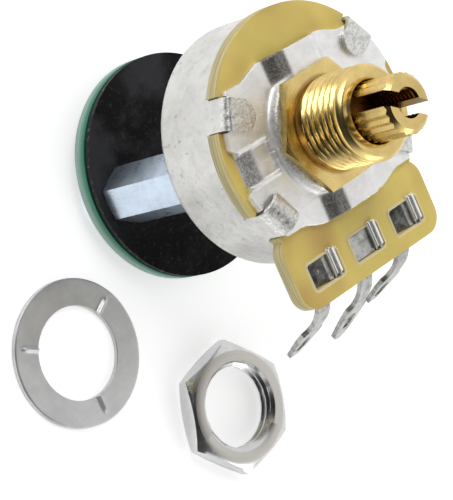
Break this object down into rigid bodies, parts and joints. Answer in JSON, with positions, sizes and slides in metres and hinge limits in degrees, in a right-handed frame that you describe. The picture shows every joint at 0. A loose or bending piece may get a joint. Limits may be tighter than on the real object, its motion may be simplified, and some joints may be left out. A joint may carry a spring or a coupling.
{
  "type": "rotary potentiometer",
  "caption": "Panel potentiometer with a threaded bushing, a split serrated shaft, solder lugs, a plated can and a round circuit board on pillars behind it.",
  "frame": {"origin": "on the shaft axis, at the front face of the bushing's hexagon, where the panel seats", "axes": "+Z along the shaft, out of the panel; -Y toward the solder lugs; +X to the right, seen from the shaft's end with the lugs down"},
  "size_m": [0.0399, 0.0459, 0.0383],
  "materials": {
    "brass_bushing": "turned, satin with bright thread crests",
    "brass_shaft": "turned and serrated, satin",
    "stamped_steel": "bright zinc plate",
    "tinned_steel": "dull tin plate",
    "phenolic": "yellow-tan paper laminate",
    "carbon_track": "printed carbon",
    "silver_print": "printed silver",
    "tinned_terminal": "tin plated",
    "zinc_hardware": "bright blue zinc",
    "fibre": "black speckled fibre",
    "spacer_fibre": "black fibre",
    "green_laminate": "green coated laminate",
    "chip_ceramic": "dark coated ceramic",
    "solder": "domed solder",
    "spring_steel": "dark spring steel",
    "moulded_nylon": "moulded, off-white",
    "spring_bronze": "spring bronze",
    "nickel_nut": "nickel plated",
    "nickel_washer": "nickel plated"
  },
  "bodies": {
    "housing": {"bushing": "brass_bushing", "mounting_plate": "stamped_steel", "element_board": "phenolic", "resistive_track": "carbon_track", "collector_ring": "silver_print", "conductor_prints": "silver_print", "terminal_left": "tinned_terminal", "terminal_middle": "tinned_terminal", "terminal_right": "tinned_terminal", "can": "tinned_steel", "can_screws": "zinc_hardware", "pillar_left": "zinc_hardware", "pillar_right": "zinc_hardware", "insulator_disc": "fibre", "spacer_washers": "spacer_fibre", "circuit_board": "green_laminate", "board_screws": "zinc_hardware", "chip_resistors": "chip_ceramic", "solder_joints": "solder", "mounting_nut": "nickel_nut", "flat_washer": "nickel_washer"},
    "turning_shaft": {"shaft": "brass_shaft", "retaining_ring": "spring_steel", "rotor": "moulded_nylon", "wiper": "spring_bronze"}
  },
  "joints": [
    {"name": "shaft_turn", "type": "hinge", "parent": "housing", "child": "turning_shaft", "pos_m": [0, 0, 0], "axis": [0, 0, 1], "range_deg": [-150, 150]}
  ]
}
